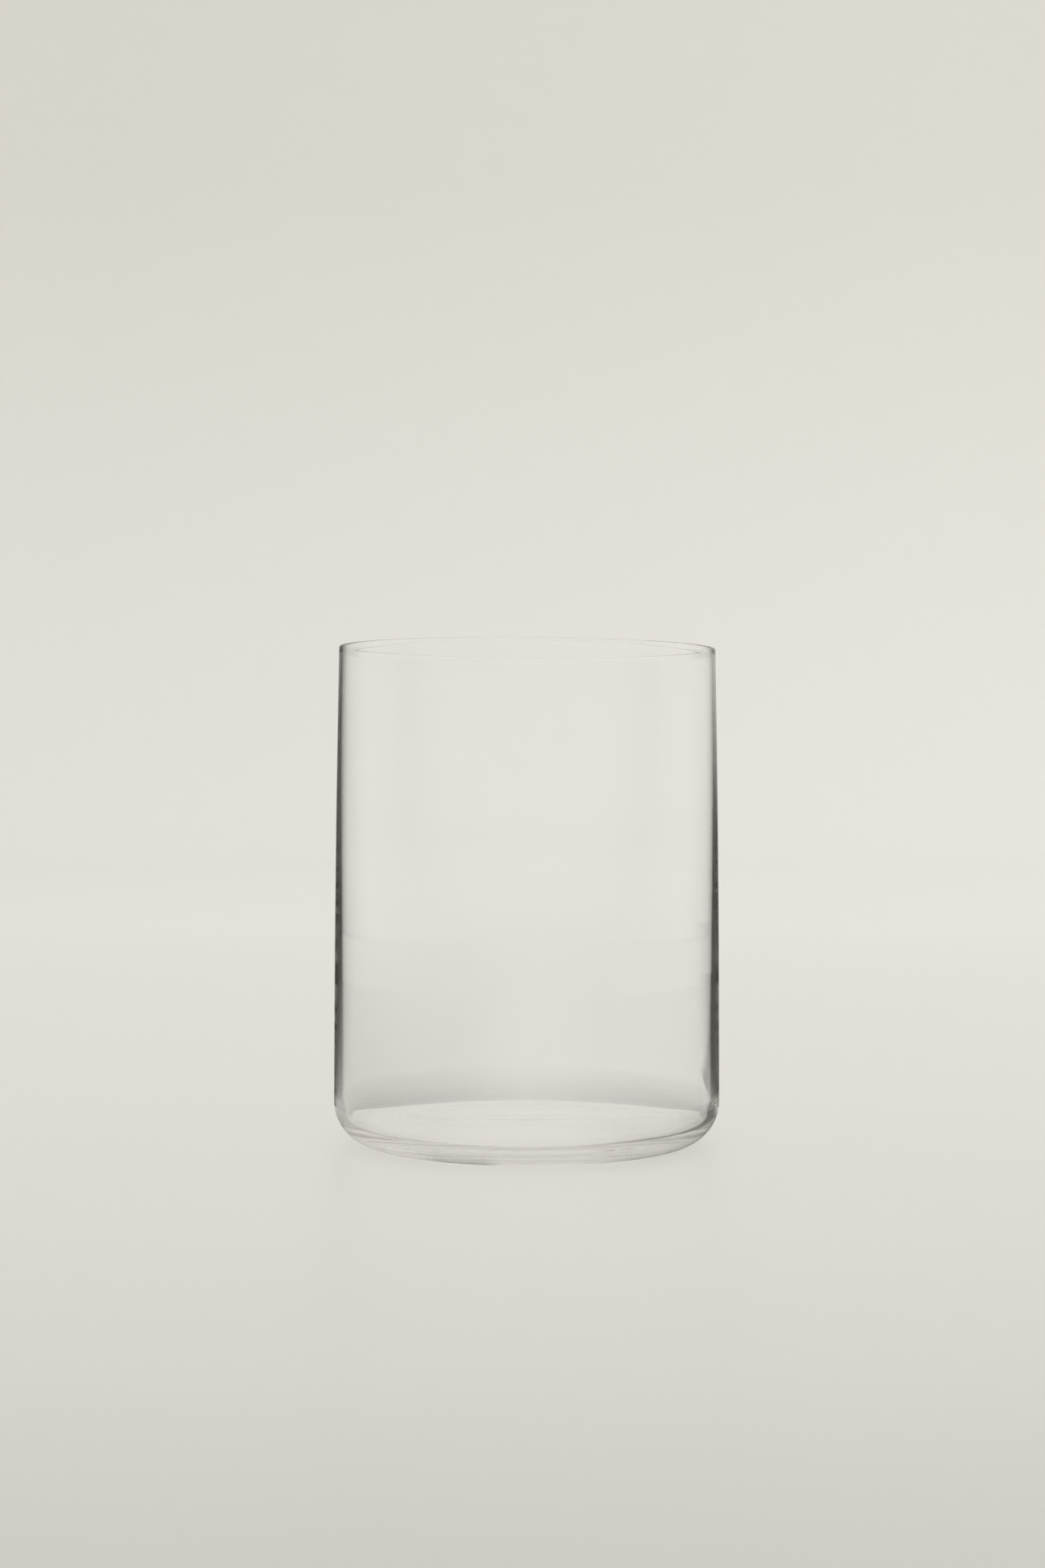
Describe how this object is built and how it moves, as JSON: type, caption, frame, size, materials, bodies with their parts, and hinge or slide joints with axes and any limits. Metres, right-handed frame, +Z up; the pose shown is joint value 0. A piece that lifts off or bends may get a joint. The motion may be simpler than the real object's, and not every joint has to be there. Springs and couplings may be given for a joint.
{
  "type": "tumbler",
  "caption": "Thin clear glass tumbler with a softly bowed wall, a fire-polished lip, a rounded heel and a narrow standing ring under a thick floor.",
  "frame": {"origin": "centre of the standing ring, on the surface that the glass stands on", "axes": "+Z up the glass along its axis of turning; X and Y are alike"},
  "size_m": [0.0786, 0.0786, 0.1015],
  "materials": {
    "clear_glass": "clear blown soda-lime glass, fire-polished all over"
  },
  "bodies": {
    "root": {"tumbler": "clear_glass"}
  },
  "joints": []
}
